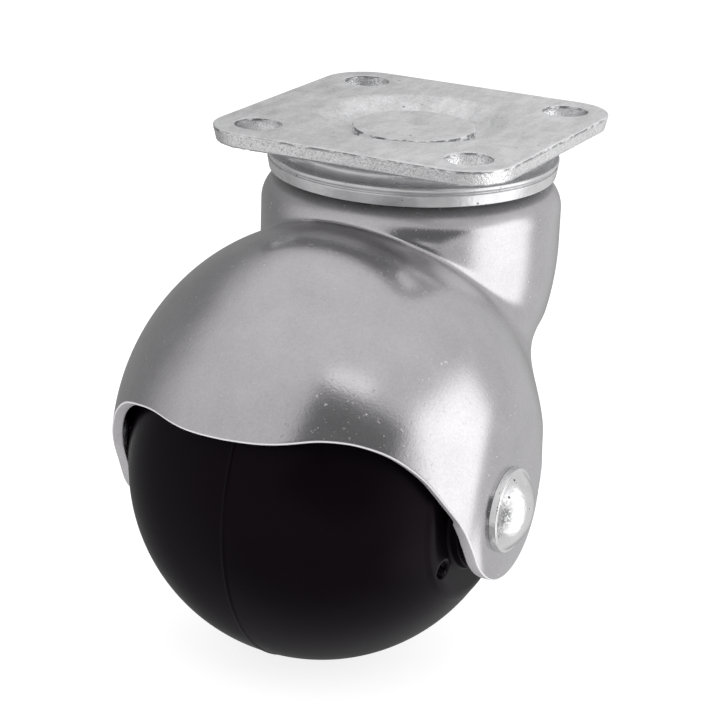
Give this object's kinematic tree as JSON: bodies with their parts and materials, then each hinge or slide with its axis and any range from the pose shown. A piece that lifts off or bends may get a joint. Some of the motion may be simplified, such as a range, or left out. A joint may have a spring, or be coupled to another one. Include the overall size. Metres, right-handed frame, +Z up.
{
  "type": "ball caster",
  "caption": "Swivel ball caster with a square dished top plate, ball races on a riveted kingpin and a pressed steel hood that carries a plastic ball on an axle rivet.",
  "frame": {"origin": "centre of the top plate's mounting face, on the swivel axis", "axes": "+Z up, out of the mounting face; the hood and ball trail to -Y; +X along the axle"},
  "size_m": [0.0586, 0.0687, 0.0665],
  "materials": {
    "plate_zinc": "dull zinc plating with fine pits and handling scratches",
    "race_zinc": "bright zinc plating",
    "pin_steel": "dull zinc plating",
    "hood_zinc": "satin zinc plating with faint draw lines",
    "rivet_steel": "bright zinc plating with small pits",
    "bearing_steel": "polished hardened steel",
    "ball_plastic": "black semi-gloss moulded plastic"
  },
  "bodies": {
    "plate": {"top_plate": "plate_zinc", "race_cup": "race_zinc", "kingpin": "pin_steel", "lower_race": "race_zinc"},
    "yoke": {"yoke_hood": "hood_zinc", "axle_rivet": "rivet_steel"},
    "wheel": {"ball_wheel": "ball_plastic"},
    "upper_balls": {"upper_ball_01": "bearing_steel", "upper_ball_02": "bearing_steel", "upper_ball_03": "bearing_steel", "upper_ball_04": "bearing_steel", "upper_ball_05": "bearing_steel", "upper_ball_06": "bearing_steel", "upper_ball_07": "bearing_steel", "upper_ball_08": "bearing_steel", "upper_ball_09": "bearing_steel", "upper_ball_10": "bearing_steel", "upper_ball_11": "bearing_steel", "upper_ball_12": "bearing_steel", "upper_ball_13": "bearing_steel", "upper_ball_14": "bearing_steel", "upper_ball_15": "bearing_steel", "upper_ball_16": "bearing_steel", "upper_ball_17": "bearing_steel", "upper_ball_18": "bearing_steel"},
    "lower_balls": {"lower_ball_01": "bearing_steel", "lower_ball_02": "bearing_steel", "lower_ball_03": "bearing_steel", "lower_ball_04": "bearing_steel", "lower_ball_05": "bearing_steel", "lower_ball_06": "bearing_steel", "lower_ball_07": "bearing_steel", "lower_ball_08": "bearing_steel", "lower_ball_09": "bearing_steel", "lower_ball_10": "bearing_steel", "lower_ball_11": "bearing_steel", "lower_ball_12": "bearing_steel", "lower_ball_13": "bearing_steel"}
  },
  "joints": [
    {"name": "swivel", "type": "hinge", "parent": "plate", "child": "yoke", "pos_m": [0, 0, 0], "axis": [0, 0, 1], "continuous": true},
    {"name": "wheel_spin", "type": "hinge", "parent": "yoke", "child": "wheel", "pos_m": [0, -0.0227, -0.0415], "axis": [1, 0, 0], "continuous": true},
    {"name": "upper_balls_roll", "type": "hinge", "parent": "plate", "child": "upper_balls", "pos_m": [0, 0, -0.00535], "axis": [0, 0, 1], "continuous": true},
    {"name": "lower_balls_roll", "type": "hinge", "parent": "plate", "child": "lower_balls", "pos_m": [0, 0, -0.0103], "axis": [0, 0, 1], "continuous": true}
  ],
  "couplings": [
    {"joint": "upper_balls_roll", "follows": "swivel", "ratio": 0.5},
    {"joint": "lower_balls_roll", "follows": "swivel", "ratio": 0.5}
  ]
}
